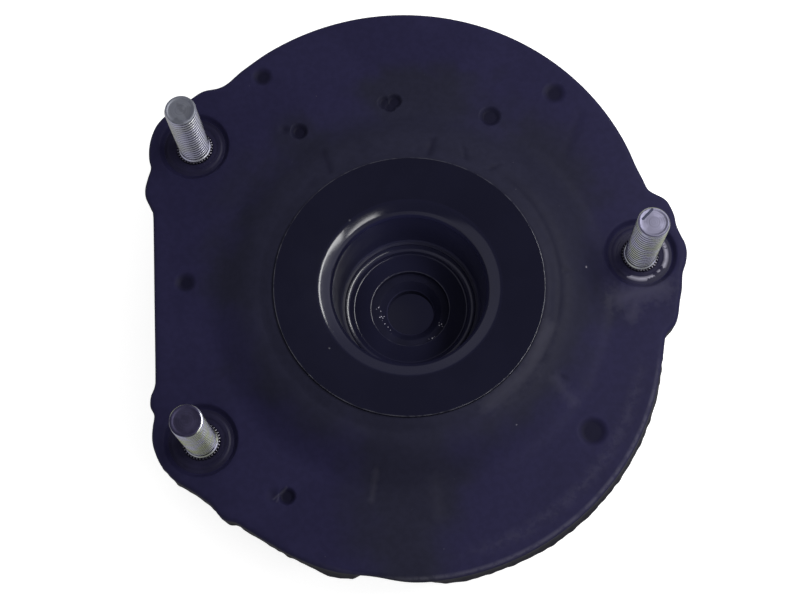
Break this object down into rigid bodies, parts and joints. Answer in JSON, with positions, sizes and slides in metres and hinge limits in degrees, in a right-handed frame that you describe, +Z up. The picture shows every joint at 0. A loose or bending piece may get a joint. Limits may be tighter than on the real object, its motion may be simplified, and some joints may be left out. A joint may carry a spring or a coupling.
{
  "type": "strut mount",
  "caption": "Rubber-covered upper strut mount with studs, a deep rebound dish, a rod seat, and a thrust bearing with spring pad that turns under the flange.",
  "frame": {"origin": "on the rod axis, at the lower face of the rod sleeve, where the rod's shoulder seats", "axes": "+Z up along the rod axis through the studs, +X towards the single stud, +Y towards the far end of the flange"},
  "size_m": [0.1381, 0.1506, 0.0468],
  "materials": {
    "rubber": "matte moulded rubber, dusty",
    "carrier_steel": "pressed sheet, bonded",
    "stud_steel": "zinc plated, faintly iridescent",
    "black_paint": "satin black coat with bare edges",
    "sleeve_steel": "turned, dull",
    "bearing_steel": "ground and greased",
    "cap_plastic": "moulded, glass filled",
    "cage_plastic": "natural moulded",
    "seal_rubber": "smooth",
    "pad_rubber": "matte moulded"
  },
  "bodies": {
    "mount": {"rubber_body": "rubber", "carrier_plate": "carrier_steel", "stud_upper_left": "stud_steel", "stud_right": "stud_steel", "stud_lower_left": "stud_steel", "rebound_dish": "black_paint", "rod_seat": "black_paint", "rod_sleeve": "sleeve_steel", "bearing_upper_cap": "cap_plastic", "upper_race": "bearing_steel"},
    "seat": {"bearing_lower_cap": "cap_plastic", "lower_race": "bearing_steel", "inner_seal": "seal_rubber", "outer_seal": "seal_rubber", "spring_pad": "pad_rubber"},
    "cage": {"ball_cage": "cage_plastic", "ball_01": "bearing_steel", "ball_02": "bearing_steel", "ball_03": "bearing_steel", "ball_04": "bearing_steel", "ball_05": "bearing_steel", "ball_06": "bearing_steel", "ball_07": "bearing_steel", "ball_08": "bearing_steel", "ball_09": "bearing_steel", "ball_10": "bearing_steel", "ball_11": "bearing_steel", "ball_12": "bearing_steel", "ball_13": "bearing_steel", "ball_14": "bearing_steel", "ball_15": "bearing_steel", "ball_16": "bearing_steel", "ball_17": "bearing_steel", "ball_18": "bearing_steel", "ball_19": "bearing_steel", "ball_20": "bearing_steel", "ball_21": "bearing_steel", "ball_22": "bearing_steel", "ball_23": "bearing_steel", "ball_24": "bearing_steel"}
  },
  "joints": [
    {"name": "seat_spin", "type": "hinge", "parent": "mount", "child": "seat", "pos_m": [0, 0, 0], "axis": [0, 0, 1], "continuous": true},
    {"name": "cage_spin", "type": "hinge", "parent": "mount", "child": "cage", "pos_m": [0, 0, 0], "axis": [0, 0, 1], "continuous": true}
  ],
  "couplings": [
    {"joint": "cage_spin", "follows": "seat_spin", "ratio": 0.5}
  ]
}
